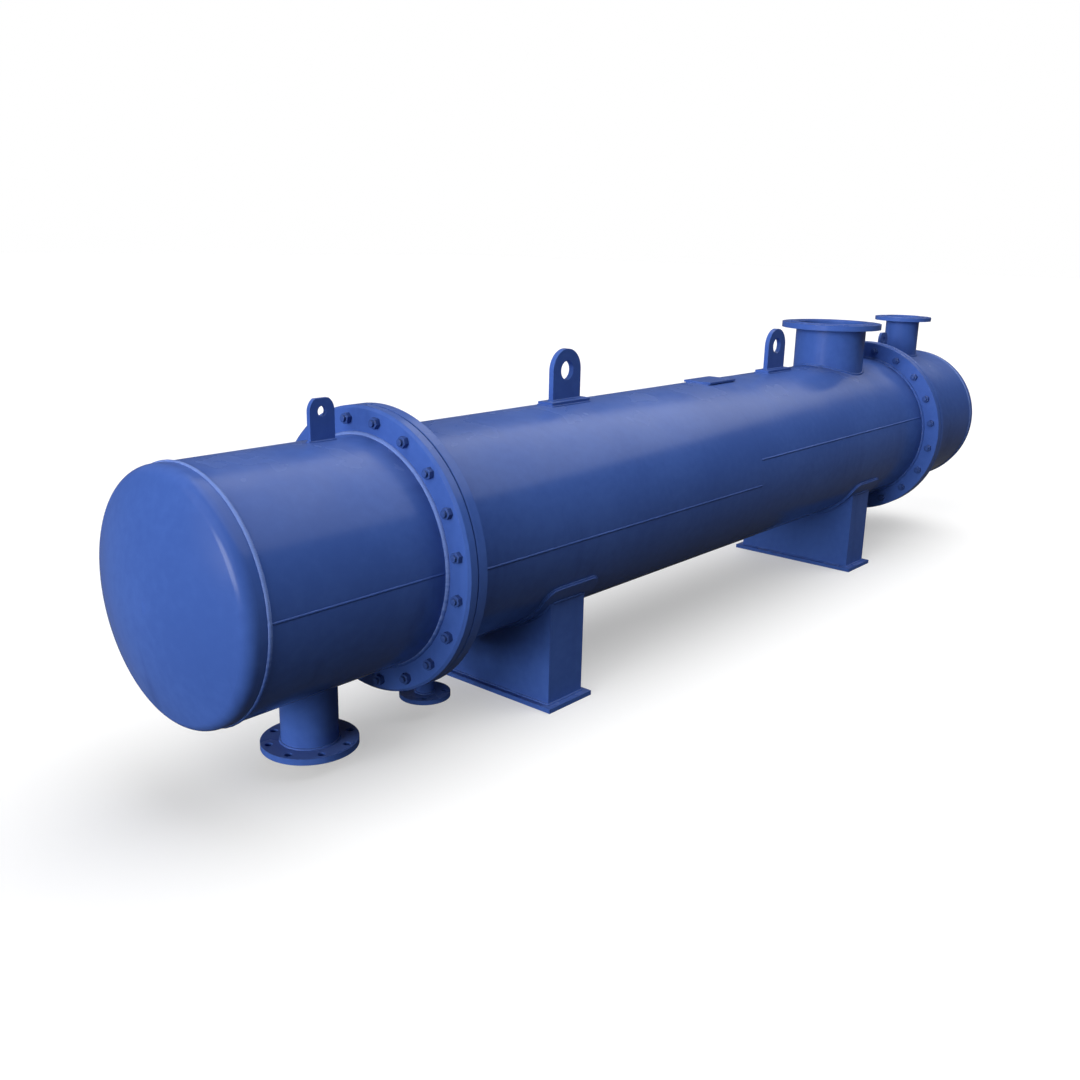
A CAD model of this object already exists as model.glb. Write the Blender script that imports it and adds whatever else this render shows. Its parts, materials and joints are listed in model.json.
"""Looks of a painted shell-and-tube heat exchanger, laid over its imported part.

Metres, +Z up, in the part's own frame: the floor is z = 0 under the middle of the shell, and +X runs
along the shell's axis towards the rear channel.
"""
import json
from math import asin, cos, pi, radians, sin, sqrt

import bpy
from mathutils import Matrix, Vector


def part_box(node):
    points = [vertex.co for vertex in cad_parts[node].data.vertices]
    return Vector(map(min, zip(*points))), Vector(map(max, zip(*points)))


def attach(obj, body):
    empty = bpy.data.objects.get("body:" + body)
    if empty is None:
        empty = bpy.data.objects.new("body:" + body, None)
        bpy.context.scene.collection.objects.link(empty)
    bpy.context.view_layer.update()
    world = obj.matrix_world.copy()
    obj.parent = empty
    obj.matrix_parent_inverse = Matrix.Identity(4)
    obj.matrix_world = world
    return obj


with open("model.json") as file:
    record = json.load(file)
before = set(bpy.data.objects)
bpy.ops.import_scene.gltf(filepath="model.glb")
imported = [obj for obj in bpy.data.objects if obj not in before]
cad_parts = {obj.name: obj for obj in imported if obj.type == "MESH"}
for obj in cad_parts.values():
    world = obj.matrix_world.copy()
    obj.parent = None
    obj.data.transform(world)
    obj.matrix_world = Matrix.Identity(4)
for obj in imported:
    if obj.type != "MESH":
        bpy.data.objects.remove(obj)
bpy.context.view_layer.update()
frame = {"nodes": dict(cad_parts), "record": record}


# Shell: two courses of rolled steel plate, closed by seam welds and joined end to end by a girth weld that
# is ground flush. It is sprayed with gloss blue enamel, which shows the wave of the rolled plate, orange
# peel, dust on the crown and faint runs down the sides. Inside, the steel is bare.
shell_low, shell_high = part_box("front_shell_course")
shell_r = shell_high.y
axis_z = shell_low.z + shell_r
shell_end = -shell_low.x
girth_seam = shell_high.x
shell_wall = 0.010
front_seam_angle = radians(-2.2)
rear_seam_angle = radians(14.5)
front_seam_inset = 0.045
rear_seam_inset = 0.012
seam_half_width = 0.0044
seam_rise = 0.0016

enamel_deep = (0.042, 0.095, 0.345, 1)
enamel_fresh = (0.054, 0.118, 0.405, 1)
enamel_run = (0.033, 0.075, 0.276, 1)
enamel_roughness = 0.19
enamel_specular = 0.115
settled_dust = (0.235, 0.280, 0.440, 1)
mill_scale = (0.085, 0.076, 0.072, 1)
light_rust = (0.190, 0.088, 0.042, 1)
rolled_wave = 0.0018
orange_peel = 0.000016
scale_grain = 0.00006
edge_rounding = 0.0022


class Wire:
    """An output socket used as a number: arithmetic on it adds Math nodes to its tree."""

    def __init__(self, nodes, socket):
        self.nodes = nodes
        self.socket = socket

    def out(self, name):
        """Another output of the same node."""
        return Wire(self.nodes, self.socket.node.outputs[name])

    def __add__(self, other):
        return self.nodes.math("ADD", self, other)

    __radd__ = __add__

    def __sub__(self, other):
        return self.nodes.math("SUBTRACT", self, other)

    def __rsub__(self, other):
        return self.nodes.math("SUBTRACT", other, self)

    def __mul__(self, other):
        return self.nodes.math("MULTIPLY", self, other)

    __rmul__ = __mul__

    def __truediv__(self, other):
        return self.nodes.math("DIVIDE", self, other)

    def __mod__(self, other):
        return self.nodes.math("MODULO", self, other)

    def __pow__(self, other):
        return self.nodes.math("POWER", self, other)

    def __lt__(self, other):
        return self.nodes.math("LESS_THAN", self, other)

    def __abs__(self):
        return self.nodes.math("ABSOLUTE", self)

    def least(self, other):
        return self.nodes.math("MINIMUM", self, other)

    def most(self, other):
        return self.nodes.math("MAXIMUM", self, other)

    def waves(self, pitch):
        """A sine with one wave in every pitch."""
        return self.nodes.math("SINE", self * (2 * pi / pitch))

    def ramp(self, low, high):
        """0 below low, 1 above high, smooth between."""
        settings = {"interpolation_type": "SMOOTHSTEP"}
        return self.nodes.add("ShaderNodeMapRange", settings, {0: self, 1: low, 2: high})


class Nodes:
    """A node tree that grows by one node at a time."""

    def __init__(self, tree):
        self.tree = tree

    def put(self, socket, value):
        if isinstance(value, Wire):
            self.tree.links.new(value.socket, socket)
        else:
            socket.default_value = value

    def add(self, kind, settings, sockets, out=0):
        """A node of that type with its settings, then the values or wires of its sockets."""
        node = self.tree.nodes.new(kind)
        for name, value in settings.items():
            setattr(node, name, value)
        for name, value in sockets.items():
            self.put(node.inputs[name], value)
        return Wire(self, node.outputs[out]) if node.outputs else node

    def math(self, operation, *values):
        return self.add("ShaderNodeMath", {"operation": operation}, dict(enumerate(values)))

    def blend(self, share, first, second):
        """A colour between two colours."""
        return self.add("ShaderNodeMix", {"data_type": "RGBA"}, {0: share, 6: first, 7: second}, 2)


class Finish(Nodes):
    """A material with one Principled surface, which the finish's own nodes feed."""

    def __init__(self, name):
        self.material = bpy.data.materials.new(name)
        self.material.use_nodes = True
        super().__init__(self.material.node_tree)
        self.tree.nodes.clear()
        self.place = self.add("ShaderNodeTexCoord", {}, {}, "Object")
        spots = self.add("ShaderNodeSeparateXYZ", {}, {0: self.place})
        self.x, self.y, self.z = (spots.out(axis) for axis in "XYZ")

    def noise(self, scale, detail):
        return self.add("ShaderNodeTexNoise", {}, {"Vector": self.place, "Scale": scale, "Detail": detail})

    def streaks(self, scales, detail):
        """Noise drawn out along the axes that have the smaller scales."""
        place = self.add("ShaderNodeMapping", {}, {"Vector": self.place, "Scale": scales})
        return self.add("ShaderNodeTexNoise", {}, {"Vector": place, "Scale": 1, "Detail": detail})

    def bump(self, height, **sockets):
        """A normal tilted by a height in metres."""
        return self.add("ShaderNodeBump", {}, {"Strength": 1, "Distance": 1, "Height": height, **sockets})

    def surface(self, sockets):
        shader = self.add("ShaderNodeBsdfPrincipled", {}, sockets)
        self.add("ShaderNodeOutputMaterial", {}, {"Surface": shader})
        return self.material


def bare_steel(finish):
    """Colour, roughness and height of unpainted steel: mill scale that has begun to rust."""
    patches = finish.noise(scale=9, detail=6).ramp(0.46, 0.62)
    grain = finish.noise(scale=320, detail=3)
    colour = finish.blend(patches * (0.55 + 0.45 * grain), mill_scale, light_rust)
    return colour, 0.52 + 0.22 * patches, grain * scale_grain


def enamel(name, bare=None, texture=None, cover=None):
    """Gloss blue enamel; bare gives where the steel shows, texture adds height in metres, and cover gives
    the share and the colour of what has changed its surface.
    """
    finish = Finish(name)
    facing = finish.add("ShaderNodeNewGeometry", {}, {}, "Normal")
    up = finish.add("ShaderNodeSeparateXYZ", {}, {0: facing}).out("Z")

    cloud = finish.noise(scale=1.7, detail=4)
    mottle = finish.noise(scale=34, detail=4)
    colour = finish.blend((cloud * 0.7 + mottle * 0.3).ramp(0.34, 0.66), enamel_deep, enamel_fresh)
    runs = finish.streaks((13, 13, 1.1), detail=5).ramp(0.55, 0.78) * up.ramp(0.35, -0.1)
    colour = finish.blend(runs * 0.55, colour, enamel_run)
    film = finish.noise(scale=5, detail=2).ramp(0.32, 0.72)
    dust = up.ramp(0.45, 0.98) * (0.25 + 0.75 * film)
    colour = finish.blend(dust * 0.16, colour, settled_dust)
    if cover:
        share, cover_colour = cover(finish, up)
        colour = finish.blend(share, colour, cover_colour)
    roughness = enamel_roughness + 0.03 * mottle + 0.10 * dust + 0.05 * runs

    wave = finish.noise(scale=2.4, detail=1) * rolled_wave
    peel = finish.noise(scale=180, detail=1) * orange_peel
    height = wave + peel
    if texture:
        height = height + texture(finish)
    if bare:
        inside = bare(finish)
        steel, steel_roughness, steel_height = bare_steel(finish)
        colour = finish.blend(inside, colour, steel)
        roughness = roughness * (1 - inside) + steel_roughness * inside
        height = height * (1 - inside) + steel_height * inside
    rounded = finish.add("ShaderNodeBevel", {"samples": 4}, {"Radius": edge_rounding})
    sockets = {
        "Base Color": colour, "Roughness": roughness, "Specular IOR Level": enamel_specular,
        "Normal": finish.bump(height, Normal=rounded),
    }
    return finish.surface(sockets)


def inside_of_run(limit):
    """Bare where a point lies nearer to the shell's axis than limit."""

    def bare(finish):
        return finish.y ** 2 + (finish.z - axis_z) ** 2 < limit * limit

    return bare


def dress(material, *nodes):
    """Gives CAD nodes their finish."""
    for node in nodes:
        mesh = frame["nodes"][node].data
        mesh.materials.clear()
        mesh.materials.append(material)


shell_enamel = enamel("shell_enamel", bare=inside_of_run(shell_r - shell_wall / 2))
dress(shell_enamel, "front_shell_course", "rear_shell_course")


def tree_with(name, inputs):
    """An empty geometry tree with named inputs, as its Nodes and the wires of the inputs."""
    tree = bpy.data.node_groups.new(name, "GeometryNodeTree")
    for label, kind in inputs.items():
        tree.interface.new_socket(label, in_out="INPUT", socket_type=f"NodeSocket{kind}")
    tree.interface.new_socket("Piece", in_out="OUTPUT", socket_type="NodeSocketGeometry")
    nodes = Nodes(tree)
    given = nodes.add("NodeGroupInput", {}, {})
    return nodes, {label: given.out(label) for label in inputs}


def grow(name, mesh, nodes, values):
    """The plain mesh that a tree makes from its start mesh, as a piece that rides on the exchanger."""
    piece = bpy.data.objects.new(name, mesh)
    modifier = piece.modifiers.new("grow", "NODES")
    modifier.node_group = nodes.tree
    for socket in nodes.tree.interface.items_tree:
        if socket.name in values:
            modifier[socket.identifier] = values[socket.name]
    bpy.context.scene.collection.objects.link(piece)
    grown = piece.evaluated_get(bpy.context.evaluated_depsgraph_get())
    plain = bpy.data.meshes.new_from_object(grown)
    piece.modifiers.remove(modifier)
    piece.data = plain
    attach(piece, "root")
    return piece


ripple_pitch = 0.0064
ripple_points = 2
ripple_dip = 0.07
bead_sides = 6
bead_unevenness = 0.14
end_fullness = 0.25
wander_rate = 55
seed_step = 17.3
crest_pitch = ripple_pitch / 1.5
crest_height = 0.00022
spatter_height = 0.00035

bead_nodes, bead = tree_with(
    "weld_bead",
    {
        "Path": "Geometry", "Half width": "Float", "Rise": "Float", "Ripple pitch": "Float",
        "Unevenness": "Float", "Seed": "Int", "Finish": "Material",
    },
)
laid = bead_nodes.add("GeometryNodeMeshToCurve", {}, {"Mesh": bead["Path"]})
laid = bead_nodes.add(
    "GeometryNodeResampleCurve", {"mode": "LENGTH"},
    {"Curve": laid, "Length": bead["Ripple pitch"] / ripple_points},
)
away_from_plate = bead_nodes.add(
    "GeometryNodeInputNamedAttribute", {"data_type": "FLOAT_VECTOR"}, {"Name": "away_from_plate"}
)
laid = bead_nodes.add(
    "GeometryNodeSetCurveNormal", {"mode": "FREE"}, {"Curve": laid, "Normal": away_from_plate}
)
travel = bead_nodes.add("GeometryNodeSplineParameter", {}, {}, "Length")
whole = bead_nodes.add("GeometryNodeSplineLength", {}, {})
closed = bead_nodes.add("GeometryNodeInputSplineCyclic", {}, {})
from_end = travel.least(whole - travel) / bead["Half width"]
taper = closed.most((end_fullness + from_end).least(1))
wander = bead_nodes.add(
    "ShaderNodeTexNoise", {"noise_dimensions": "1D"},
    {"W": travel * wander_rate + bead["Seed"] * seed_step, "Scale": 1, "Detail": 2},
)
ripple_step = bead_nodes.add("GeometryNodeInputIndex", {}, {}) % ripple_points
fullness = taper * (1 + bead["Unevenness"] * (wander * 2 - 1) - ripple_dip * ripple_step)
laid = bead_nodes.add(
    "GeometryNodeStoreNamedAttribute", {"data_type": "FLOAT", "domain": "POINT"},
    {"Geometry": laid, "Name": "weld_travel", "Value": travel},
)
section = bead_nodes.add(
    "GeometryNodeCurvePrimitiveCircle", {"mode": "RADIUS"}, {"Resolution": bead_sides, "Radius": 1}
)
section_size = bead_nodes.add("ShaderNodeCombineXYZ", {}, {0: bead["Rise"], 1: bead["Half width"], 2: 1})
section = bead_nodes.add("GeometryNodeTransform", {}, {"Geometry": section, "Scale": section_size})
swept = bead_nodes.add(
    "GeometryNodeCurveToMesh", {},
    {"Curve": laid, "Profile Curve": section, "Scale": fullness, "Fill Caps": True},
)
swept = bead_nodes.add("GeometryNodeSetShadeSmooth", {}, {"Geometry": swept})
swept = bead_nodes.add("GeometryNodeRealizeInstances", {}, {"Geometry": swept})
swept = bead_nodes.add("GeometryNodeSetMaterial", {}, {"Geometry": swept, "Material": bead["Finish"]})
bead_nodes.add("NodeGroupOutput", {}, {"Piece": swept})


def weld_ripples(finish):
    """Height of the solidified ripples across a bead, under the enamel."""
    travelled = finish.add("ShaderNodeAttribute", {"attribute_name": "weld_travel"}, {}, "Fac")
    spatter = finish.noise(scale=420, detail=2)
    return travelled.waves(crest_pitch) * crest_height + spatter * spatter_height


weld_enamel = enamel("weld_enamel", texture=weld_ripples)


def weld(name, paths, half_width, rise, seed, finish=weld_enamel):
    """Beads along paths: each is a list of (point, direction away from the plates) and whether it closes."""
    points, directions, edges = [], [], []
    for path, closes in paths:
        first = len(points)
        for point, direction in path:
            points.append(Vector(point))
            directions.extend(Vector(direction).normalized())
        edges += [(k, k + 1) for k in range(first, len(points) - 1)]
        if closes:
            edges.append((len(points) - 1, first))
    mesh = bpy.data.meshes.new(name)
    mesh.from_pydata(points, edges, [])
    mesh.attributes.new("away_from_plate", "FLOAT_VECTOR", "POINT").data.foreach_set("vector", directions)
    values = {
        "Half width": half_width, "Rise": rise, "Ripple pitch": ripple_pitch,
        "Unevenness": bead_unevenness, "Seed": seed, "Finish": finish,
    }
    return grow(name, mesh, bead_nodes, values)


def long_path(start, end, radius, angle):
    """Straight seam along a course, at an angle above the near side's middle."""
    out = (0, -cos(angle), sin(angle))
    place = (radius * out[1], axis_z + radius * out[2])
    return [((start, *place), out), ((end, *place), out)], False


weld(
    "shell_long_welds",
    [
        long_path(-shell_end + front_seam_inset, girth_seam, shell_r, front_seam_angle),
        long_path(girth_seam, shell_end - rear_seam_inset, shell_r, rear_seam_angle),
    ],
    half_width=seam_half_width, rise=seam_rise, seed=3,
)


# Channels: a rolled barrel and a spun dished head at each end, butt welded with a heavy cap bead that was
# left as laid and painted over, its enamel now rubbed pale. The barrel's own seam is ground lower.
barrel_low, barrel_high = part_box("front_channel_barrel")
channel_r = barrel_high.y
head_weld = -barrel_low.x
channel_flange_face = -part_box("front_channel_flange")[0].x
channel_wall = 0.008
channel_seam_angle = radians(1.5)
head_seam_inset = 0.008
flange_seam_inset = 0.010
channel_seam_half_width = 0.0040
channel_seam_rise = 0.0015
cap_half_width = 0.0068
cap_rise = 0.0046
girth_points = 240
enamel_worn = (0.165, 0.255, 0.590, 1)

channel_enamel = enamel("channel_enamel", bare=inside_of_run(channel_r - channel_wall / 2))
dress(channel_enamel, "front_channel_barrel", "rear_channel_barrel")
plain_enamel = enamel("plate_enamel")
dress(plain_enamel, "front_head", "rear_head")


def rubbed(finish, up):
    """Enamel rubbed pale and thin on a proud bead, and whole where the bead faces down."""
    patches = 0.55 + 0.35 * finish.noise(scale=34, detail=4)
    return patches * up.ramp(-0.45, 0.10), enamel_worn


def turns(count):
    """Angles of that many equal steps round a circle."""
    return [2 * pi * k / count for k in range(count)]


def girth_path(x, radius, lean):
    """Ring round the shell's axis; lean tips the bead's crest along x, as in a fillet against a flange."""
    path = []
    for a in turns(girth_points):
        path.append(((x, radius * cos(a), axis_z + radius * sin(a)), (lean, cos(a), sin(a))))
    return path, True


proud_weld_enamel = enamel("proud_weld_enamel", texture=weld_ripples, cover=rubbed)
weld(
    "head_seam_welds",
    [girth_path(-head_weld, channel_r, 0), girth_path(head_weld, channel_r, 0)],
    half_width=cap_half_width, rise=cap_rise, seed=5, finish=proud_weld_enamel,
)
seam_start = channel_flange_face + flange_seam_inset
seam_stop = head_weld - head_seam_inset
weld(
    "channel_seam_welds",
    [
        long_path(-seam_stop, -seam_start, channel_r, channel_seam_angle),
        long_path(seam_start, seam_stop, channel_r, pi - channel_seam_angle),
    ],
    half_width=channel_seam_half_width, rise=channel_seam_rise, seed=8,
)


# Girth joints: the channel flange, gasket and tubesheet are drawn together by studs with a hexagon nut at
# each end, painted in place and darkened by grease. Fillet welds hold the flange to its barrel, where they
# are rubbed pale, and the tubesheet to the shell.
joint_middle = (channel_flange_face + shell_end) / 2
joint_grip = channel_flange_face - shell_end
joint_fillet = 0.0100
stud_edge = 0.037
stud_circle_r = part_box("front_tubesheet")[1].y - stud_edge
stud_count = 20
stud_sides = 12
stud_r = 0.010
stud_point_r = 0.82 * stud_r
stud_past_nut = 0.008
thread_pitch = 0.0025
thread_root_r = 0.90 * stud_r
thread_turns = 5
thread_start = 0.0012
nut_height = 0.016
nut_across_flats = 0.030
nut_flat_r = nut_across_flats / 2
nut_corner_r = nut_flat_r / cos(pi / 6)
nut_edge_r = 0.985 * nut_corner_r
nut_face_r = 0.96 * nut_flat_r
nut_cut = 0.58 * (nut_corner_r - nut_flat_r)
nut_edge = 0.55 * nut_cut
gasket_dark = (0.018, 0.018, 0.020, 1)
gasket_pale = (0.060, 0.058, 0.055, 1)
fibre_height = 0.00015
greasy_dirt = (0.012, 0.016, 0.036, 1)

dress(plain_enamel, "front_channel_flange", "rear_channel_flange", "front_tubesheet", "rear_tubesheet")
weld(
    "channel_flange_welds",
    [girth_path(-channel_flange_face, channel_r, -1), girth_path(channel_flange_face, channel_r, 1)],
    half_width=joint_fillet, rise=joint_fillet, seed=11, finish=proud_weld_enamel,
)
weld(
    "tubesheet_welds",
    [girth_path(-shell_end, shell_r, 1), girth_path(shell_end, shell_r, -1)],
    half_width=joint_fillet, rise=joint_fillet, seed=12,
)

gasket = Finish("gasket_fibre")
fibres = gasket.streaks((40, 900, 900), detail=5)
gasket_sockets = {
    "Base Color": gasket.blend(fibres, gasket_dark, gasket_pale), "Roughness": 0.78 + 0.1 * fibres,
    "Normal": gasket.bump(fibres * fibre_height),
}
dress(gasket.surface(gasket_sockets), "front_gasket", "rear_gasket")

ring_nodes, ring = tree_with(
    "stud_ring",
    {
        "Stud": "Geometry", "Count": "Int", "Circle radius": "Float", "First angle": "Float",
        "Joint x": "Float", "Axis z": "Float", "Seed": "Int", "Finish": "Material",
    },
)
places = ring_nodes.add(
    "GeometryNodeMeshCircle", {}, {"Vertices": ring["Count"], "Radius": ring["Circle radius"]}
)
first_turn = ring_nodes.add("ShaderNodeCombineXYZ", {}, {2: ring["First angle"]})
places = ring_nodes.add("GeometryNodeTransform", {}, {"Geometry": places, "Rotation": first_turn})
across_axis = (pi / 2, 0, pi / 2)
places = ring_nodes.add("GeometryNodeTransform", {}, {"Geometry": places, "Rotation": across_axis})
spin = ring_nodes.add(
    "FunctionNodeRandomValue", {"data_type": "FLOAT"}, {2: 0.0, 3: pi / 3, "Seed": ring["Seed"]}, 1
)
spun = ring_nodes.add("ShaderNodeCombineXYZ", {}, {0: spin})
studs = ring_nodes.add(
    "GeometryNodeInstanceOnPoints", {}, {"Points": places, "Instance": ring["Stud"], "Rotation": spun}
)
joint_place = ring_nodes.add("ShaderNodeCombineXYZ", {}, {0: ring["Joint x"], 2: ring["Axis z"]})
studs = ring_nodes.add("GeometryNodeTransform", {}, {"Geometry": studs, "Translation": joint_place})
studs = ring_nodes.add("GeometryNodeRealizeInstances", {}, {"Geometry": studs})
studs = ring_nodes.add("GeometryNodeSetMaterial", {}, {"Geometry": studs, "Material": ring["Finish"]})
ring_nodes.add("NodeGroupOutput", {}, {"Piece": studs})

stud_points, stud_faces = [], []


def add_turned(profile):
    """Adds a closed shape about x to the stud: its profile is (x, radius at the corners, radius at the
    flats) from end to end, and a round shape has the same radius twice.
    """
    rings = []
    for x, corner_r, flat_r in profile:
        rings.append(range(len(stud_points), len(stud_points) + stud_sides))
        for k, a in enumerate(turns(stud_sides)):
            radius = flat_r if k % 2 else corner_r
            stud_points.append((x, radius * cos(a), radius * sin(a)))
    for low, high in zip(rings, rings[1:]):
        for k in range(stud_sides):
            n = (k + 1) % stud_sides
            stud_faces.append((low[k], low[n], high[n], high[k]))
    stud_faces.append(tuple(reversed(rings[0])))
    stud_faces.append(tuple(rings[-1]))


half_stud = joint_grip / 2 + nut_height + stud_past_nut
thread = [(half_stud, stud_point_r, stud_point_r)]
for k in range(thread_turns):
    crest_x = half_stud - thread_start - k * thread_pitch
    thread.append((crest_x, stud_r, stud_r))
    thread.append((crest_x - thread_pitch / 2, thread_root_r, thread_root_r))
add_turned([(-x, *radii) for x, *radii in thread] + thread[::-1])

nut_end = [
    (0, nut_face_r, nut_face_r),
    (nut_edge, nut_edge_r, nut_flat_r),
    (nut_cut, nut_corner_r, nut_flat_r),
]
nut = nut_end + [(nut_height - x, *radii) for x, *radii in reversed(nut_end)]
for start in (joint_grip / 2, -joint_grip / 2 - nut_height):
    add_turned([(start + x, *radii) for x, *radii in nut])
stud_mesh = bpy.data.meshes.new("stud_with_nuts")
stud_mesh.from_pydata(stud_points, [], stud_faces)


def greased(finish, up):
    """Thread grease and dirt that have darkened the enamel."""
    return 0.18 + 0.30 * finish.noise(scale=90, detail=3), greasy_dirt


stud_enamel = enamel("stud_enamel", cover=greased)
for end, x, seed in (("front", -joint_middle, 4), ("rear", joint_middle, 9)):
    values = {
        "Count": stud_count, "Circle radius": stud_circle_r, "First angle": pi / stud_count, "Joint x": x,
        "Axis z": axis_z, "Seed": seed, "Finish": stud_enamel,
    }
    grow(f"{end}_joint_studs", stud_mesh.copy(), ring_nodes, values)


# Tubes: the outer ring of the bundle, of drawn steel, held by the tubesheets. They are unpainted, with mill
# scale, fine drawing lines and the first rust, and show through the vapour nozzle.
drawing_lines = 0.00005
tubes = Finish("drawn_tube")
tube_colour, tube_roughness, tube_height = bare_steel(tubes)
drawn = tubes.streaks((6, 700, 700), detail=3)
tube_sockets = {
    "Base Color": tube_colour, "Roughness": tube_roughness, "Metallic": 0.55,
    "Normal": tubes.bump(tube_height + drawn * drawing_lines),
}
dress(tubes.surface(tube_sockets), "tube_bundle")


# Nozzles: pipe stubs let into the run and slip-on flanges, each with a fillet weld at the run, behind the
# flange and inside the flange's mouth. They are painted outside, the pipes are bare inside, and the raised
# faces keep their turned grooves under the enamel.
mounts = {mount["name"]: mount for mount in frame["record"]["mounts"]}
nozzle_points = 96
run_fillet = 0.0072
flange_fillet = 0.0055
mouth_fillet = 0.0042
bore_margin = 0.0015
drift_reach = 0.09
steel_start = 0.09
steel_whole = 0.20
groove_pitch = 0.0009
groove_height = 0.00012
face_margin = 0.0008


def inside_of_pipe(x, limit, face_z):
    """Bare inside an upright pipe nearer to its axis than limit, past the enamel that drifted into it."""

    def bare(finish):
        inside = (finish.x - x) ** 2 + finish.y ** 2 < limit * limit
        drift = finish.noise(scale=14, detail=4) * drift_reach
        return inside * (abs(finish.z - face_z) + drift).ramp(steel_start, steel_whole)

    return bare


def turned_face(x, face_z):
    """Height of the fine grooves round a nozzle's raised face."""

    def grooves(finish):
        radius = ((finish.x - x) ** 2 + finish.y ** 2) ** 0.5
        on_face = abs(finish.z - face_z) < face_margin
        return on_face * radius.waves(groove_pitch) * groove_height

    return grooves


def on_run(x, y, radius, side):
    """The point at x and y on top of a run or under it, and the direction straight out of the run there."""
    rise = side * sqrt(radius * radius - y * y)
    return Vector((x, y, axis_z + rise)), Vector((0, y, rise)) / radius


run_welds, flange_welds, mouth_welds = [], [], []
for name, run_r in (
    ("tube_side_inlet", channel_r), ("tube_side_outlet", channel_r),
    ("vapour_inlet", shell_r), ("shell_drain", shell_r),
):
    bore = mounts[f"{name}_bore"]
    x = bore["pos_m"][0]
    bore_r = bore["dims"]["r_mm"] / 1000
    neck_low, neck_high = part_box(f"{name}_neck")
    flange_low, flange_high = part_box(f"{name}_flange")
    pipe_r = neck_high.x - x
    if flange_low.z > axis_z:
        side, mouth_z, back_z, face_z = 1, neck_high.z, flange_low.z, flange_high.z
    else:
        side, mouth_z, back_z, face_z = -1, neck_low.z, flange_high.z, flange_low.z
    pipe_enamel = enamel(f"{name}_pipe_enamel", bare=inside_of_pipe(x, bore_r + bore_margin, face_z))
    dress(pipe_enamel, f"{name}_neck")
    dress(enamel(f"{name}_face_enamel", texture=turned_face(x, face_z)), f"{name}_flange")
    at_run, at_flange, at_mouth = [], [], []
    outwards = Vector((0, 0, side))
    for a in turns(nozzle_points):
        out = Vector((cos(a), sin(a), 0))
        around = Vector((x, 0, 0)) + out * pipe_r
        point, up = on_run(around.x, around.y, run_r, side)
        at_run.append((point, out + up))
        at_flange.append(((around.x, around.y, back_z), out - outwards))
        at_mouth.append(((around.x, around.y, mouth_z), outwards - out))
    run_welds.append((at_run, True))
    flange_welds.append((at_flange, True))
    mouth_welds.append((at_mouth, True))
weld("nozzle_run_welds", run_welds, half_width=run_fillet, rise=run_fillet, seed=13)
weld("nozzle_flange_welds", flange_welds, half_width=flange_fillet, rise=flange_fillet, seed=17)
weld("nozzle_mouth_welds", mouth_welds, half_width=mouth_fillet, rise=mouth_fillet, seed=19)


# Lifting lugs: flame-cut plates welded all round, the shell's two on rolled pads. The flat bracket plate
# on the crown is welded along its two short ends.
lug_fillet = 0.0052
lug_pad_corner = 0.006
foot_shares = (0.03, 0.5, 0.97)
corner_steps = 6
straight_step = 0.03
bracket_weld_share = 0.86
bracket_weld_steps = 8

for end in ("front", "rear"):
    dress(plain_enamel, f"{end}_lug_pad", f"{end}_lifting_lug", f"{end}_channel_lifting_lug")
dress(plain_enamel, "bracket_plate")


def foot_path(node, seat_r):
    """Round the foot of an upright plate on a seat of that radius."""
    low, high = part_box(node)
    path = []
    for start, end, out in (
        ((low.x, low.y), (high.x, low.y), (0, -1, 0)),
        ((high.x, low.y), (high.x, high.y), (1, 0, 0)),
        ((high.x, high.y), (low.x, high.y), (0, 1, 0)),
        ((low.x, high.y), (low.x, low.y), (-1, 0, 0)),
    ):
        for share in foot_shares:
            px = start[0] + share * (end[0] - start[0])
            py = start[1] + share * (end[1] - start[1])
            point, up = on_run(px, py, seat_r, 1)
            path.append((point, Vector(out) + up))
    return path, True


def away_from_axis(point):
    """Direction from the shell's axis straight out to a point."""
    return Vector((0, point.y, point.z - axis_z)).normalized()


def wrap_path(node, middle, corner):
    """Round the edge of a plate rolled on to the shell about a middle angle from +y, with round corners."""
    low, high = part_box(node)
    outer_r = max(high.z - axis_z, axis_z - low.z)
    half_x = (high.x - low.x) / 2 - corner
    half_w = asin(high.y / outer_r) * shell_r - corner
    path = []
    for x_sign, w_sign, first in ((1, 1, 0), (-1, 1, 90), (-1, -1, 180), (1, -1, 270)):
        for step in range(corner_steps + 1):
            a = radians(first + 90 * step / corner_steps)
            px = (low.x + high.x) / 2 + x_sign * half_x + corner * cos(a)
            angle = middle + (w_sign * half_w + corner * sin(a)) / shell_r
            up = Vector((0, cos(angle), sin(angle)))
            along = Vector((cos(a), -sin(angle) * sin(a), cos(angle) * sin(a)))
            path.append((Vector((px, 0, axis_z)) + up * shell_r, along + up))
    return dense(path), True


def dense(path):
    """The closed path with points added on its long straights, pulled back on to the shell's round."""
    full = []
    for (point, out), (after, _) in zip(path, path[1:] + path[:1]):
        full.append((point, out))
        steps = int((after - point).length / straight_step)
        for k in range(1, steps):
            between = point.lerp(after, k / steps)
            up = away_from_axis(between)
            full.append((Vector((between.x, 0, axis_z)) + up * shell_r, out - away_from_axis(point) + up))
    return full


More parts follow.
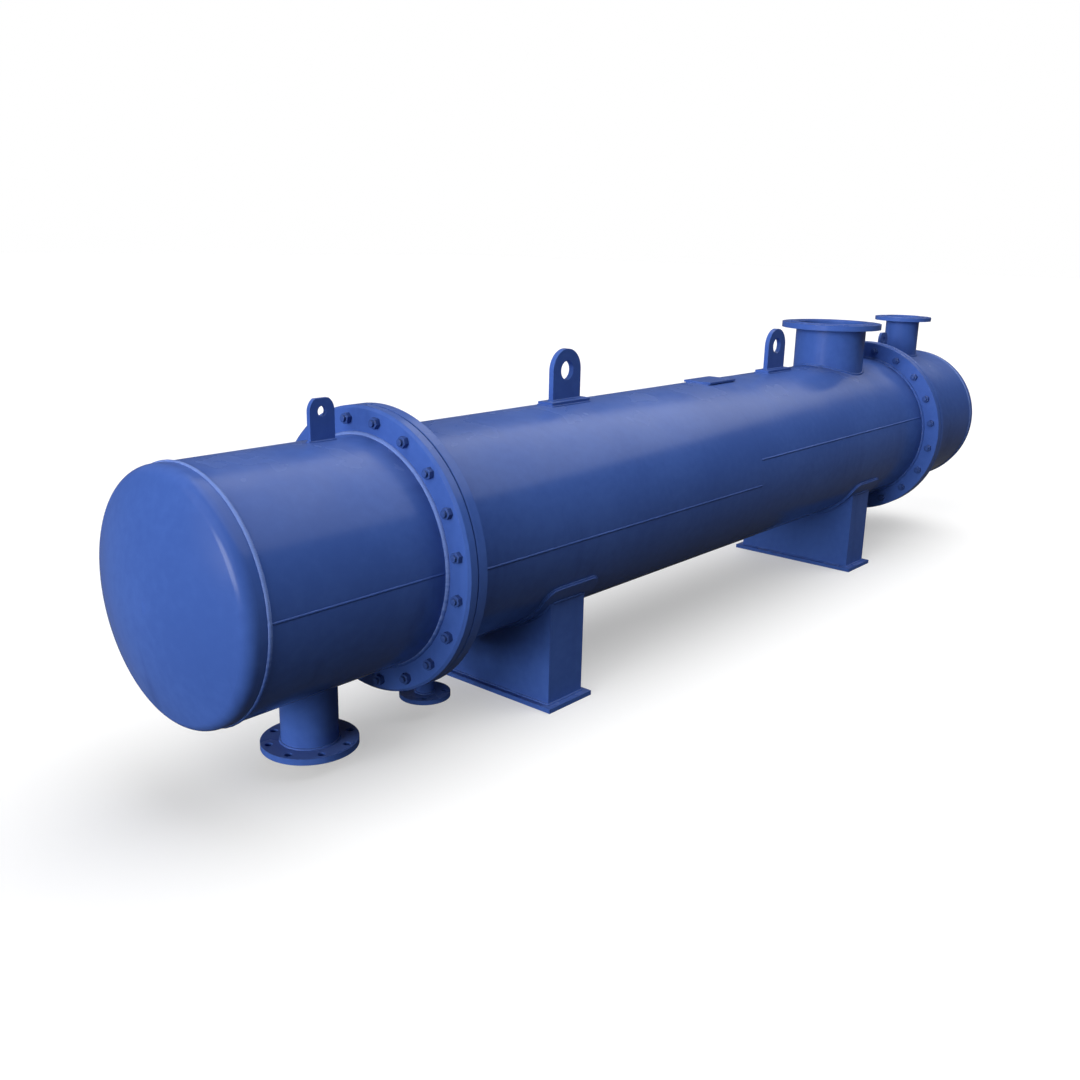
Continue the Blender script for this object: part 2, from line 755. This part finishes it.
lug_paths = []
for end in ("front", "rear"):
    pad_top_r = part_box(f"{end}_lug_pad")[1].z - axis_z
    lug_paths.append(foot_path(f"{end}_lifting_lug", pad_top_r))
    lug_paths.append(wrap_path(f"{end}_lug_pad", pi / 2, lug_pad_corner))
for end in ("front", "rear"):
    lug_paths.append(foot_path(f"{end}_channel_lifting_lug", channel_r))
bracket_low, bracket_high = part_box("bracket_plate")
for x, lean in ((bracket_low.x, -1), (bracket_high.x, 1)):
    end_path = []
    for k in range(bracket_weld_steps + 1):
        y = bracket_high.y * bracket_weld_share * (2 * k / bracket_weld_steps - 1)
        point, up = on_run(x, y, shell_r, 1)
        end_path.append((point, Vector((lean, 0, 0)) + up))
    lug_paths.append((end_path, False))
weld("lug_welds", lug_paths, half_width=lug_fillet, rise=lug_fillet, seed=23)


# Saddles: boxes of flat plate on a base plate, welded under a rolled wear plate that spreads the load
# round the shell. All outer edges are fillet welded.
saddle_fillet = 0.0058
wear_plate_corner = 0.045
contact_steps = 32
corner_share = 0.98

saddle_paths = []
for end in ("front", "rear"):
    for piece in ("base", "front_web", "back_web", "side_plates", "wear_plate"):
        dress(plain_enamel, f"{end}_saddle_{piece}")
    saddle_paths.append(wrap_path(f"{end}_saddle_wear_plate", -pi / 2, wear_plate_corner))
    front_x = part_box(f"{end}_saddle_front_web")[0].x
    back_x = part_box(f"{end}_saddle_back_web")[1].x
    sides_low, sides_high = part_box(f"{end}_saddle_side_plates")
    box_half_y = sides_high.y
    base_top = sides_low.z
    wear_plate_r = axis_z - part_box(f"{end}_saddle_wear_plate")[0].z
    contact_angle = asin(box_half_y / wear_plate_r)
    top_z = axis_z - wear_plate_r * cos(contact_angle)
    for web_x, side in ((front_x, -1), (back_x, 1)):
        arc = []
        for k in range(contact_steps + 1):
            a = contact_angle * (2 * k / contact_steps - 1)
            point = (web_x, wear_plate_r * sin(a), axis_z - wear_plate_r * cos(a))
            arc.append((point, (side, sin(a), -cos(a))))
        saddle_paths.append((arc, False))
        out = (0, side * (1 + sin(contact_angle)), -cos(contact_angle))
        edge = [((x, side * box_half_y, top_z), out) for x in (sides_low.x, sides_high.x)]
        saddle_paths.append((edge, False))
    middle_x = (front_x + back_x) / 2
    box_half_x = (back_x - front_x) / 2
    loop = []
    for x_share, y_share, out in (
        (-1, -corner_share, (-1, 0, 1)), (-corner_share, -1, (0, -1, 1)),
        (corner_share, -1, (0, -1, 1)), (1, -corner_share, (1, 0, 1)),
        (1, corner_share, (1, 0, 1)), (corner_share, 1, (0, 1, 1)),
        (-corner_share, 1, (0, 1, 1)), (-1, corner_share, (-1, 0, 1)),
    ):
        loop.append(((middle_x + x_share * box_half_x, y_share * box_half_y, base_top), out))
    saddle_paths.append((loop, True))
weld("saddle_welds", saddle_paths, half_width=saddle_fillet, rise=saddle_fillet, seed=29)


# Studio: a wide pale floor that keeps the shadow, a white background and three broad soft lamps, one
# overhead and two from the front. Reflections see the floor and the background only dimly, as if the
# surroundings were dark. The camera stands where the photo's did.
floor_reach = 60
floor_shade = (0.09, 0.09, 0.09, 1)
floor_pale = (0.60, 0.60, 0.60, 1)
floor_glow = (0.40, 0.40, 0.40, 1)
floor_mirrored = 0.03
sky_shade = (0.02, 0.02, 0.02, 1)
sky_mirrored = 0.08
black = (0, 0, 0, 1)
white = (1, 1, 1, 1)
photo_width = 1080
focal_length = 1087.915
sensor_width = 36
camera_place = (-3.6913, -2.3804, 1.4903)
yaw = 0.866634
pitch = 0.270649
roll = -0.023089


def seen_share(nodes, mirrored):
    """1 for rays from the camera, the mirrored share for reflections and 0 for the light on the pieces."""
    rays = nodes.add("ShaderNodeLightPath", {}, {}, "Is Camera Ray")
    return rays.most(rays.out("Is Glossy Ray") * mirrored).most(rays.out("Is Transmission Ray"))


floor_mesh = bpy.data.meshes.new("floor")
floor_corners = [(x * floor_reach, y * floor_reach, 0) for x, y in ((-1, -1), (1, -1), (1, 1), (-1, 1))]
floor_mesh.from_pydata(floor_corners, [], [(0, 1, 2, 3)])
floor = bpy.data.objects.new("floor", floor_mesh)
bpy.context.scene.collection.objects.link(floor)
floor_finish = Finish("pale_floor")
seen = seen_share(floor_finish, floor_mirrored)
floor_sockets = {
    "Base Color": floor_finish.blend(seen, floor_shade, floor_pale), "Roughness": 1,
    "Specular IOR Level": 0, "Emission Color": floor_finish.blend(seen, black, floor_glow),
    "Emission Strength": 1,
}
floor_mesh.materials.append(floor_finish.surface(floor_sockets))

world = bpy.data.worlds.new("studio")
bpy.context.scene.world = world
world.use_nodes = True
sky = Nodes(world.node_tree)
world.node_tree.nodes.clear()
glow = sky.blend(seen_share(sky, sky_mirrored), sky_shade, white)
sky.add("ShaderNodeOutputWorld", {}, {"Surface": sky.add("ShaderNodeBackground", {}, {"Color": glow})})

for name, towards, strength, spread in (
    ("overhead_lamp", (0.44, -0.10, 0.89), 3.0, 74),
    ("front_low_lamp", (-0.99, 0.00, 0.10), 3.6, 34),
    ("front_high_lamp", (-0.88, 0.00, 0.46), 1.5, 72),
):
    lamp = bpy.data.lights.new(name, "SUN")
    lamp.energy = strength
    lamp.angle = radians(spread)
    holder = bpy.data.objects.new(name, lamp)
    holder.rotation_mode = "QUATERNION"
    holder.rotation_quaternion = Vector(towards).to_track_quat("Z", "Y")
    bpy.context.scene.collection.objects.link(holder)

forward = Vector((sin(yaw) * cos(pitch), cos(yaw) * cos(pitch), -sin(pitch)))
level = Vector((cos(yaw), -sin(yaw), 0))
below = forward.cross(level)
right = level * cos(roll) + below * sin(roll)
down = below * cos(roll) - level * sin(roll)
camera = bpy.data.cameras.new("camera")
camera.sensor_width = sensor_width
camera.lens = sensor_width * focal_length / photo_width
viewer = bpy.data.objects.new("camera", camera)
bpy.context.scene.collection.objects.link(viewer)
turn = Matrix((right, -down, -forward)).transposed()
viewer.matrix_world = Matrix.Translation(camera_place) @ turn.to_4x4()
bpy.context.scene.camera = viewer
bpy.context.scene.view_settings.view_transform = "Standard"
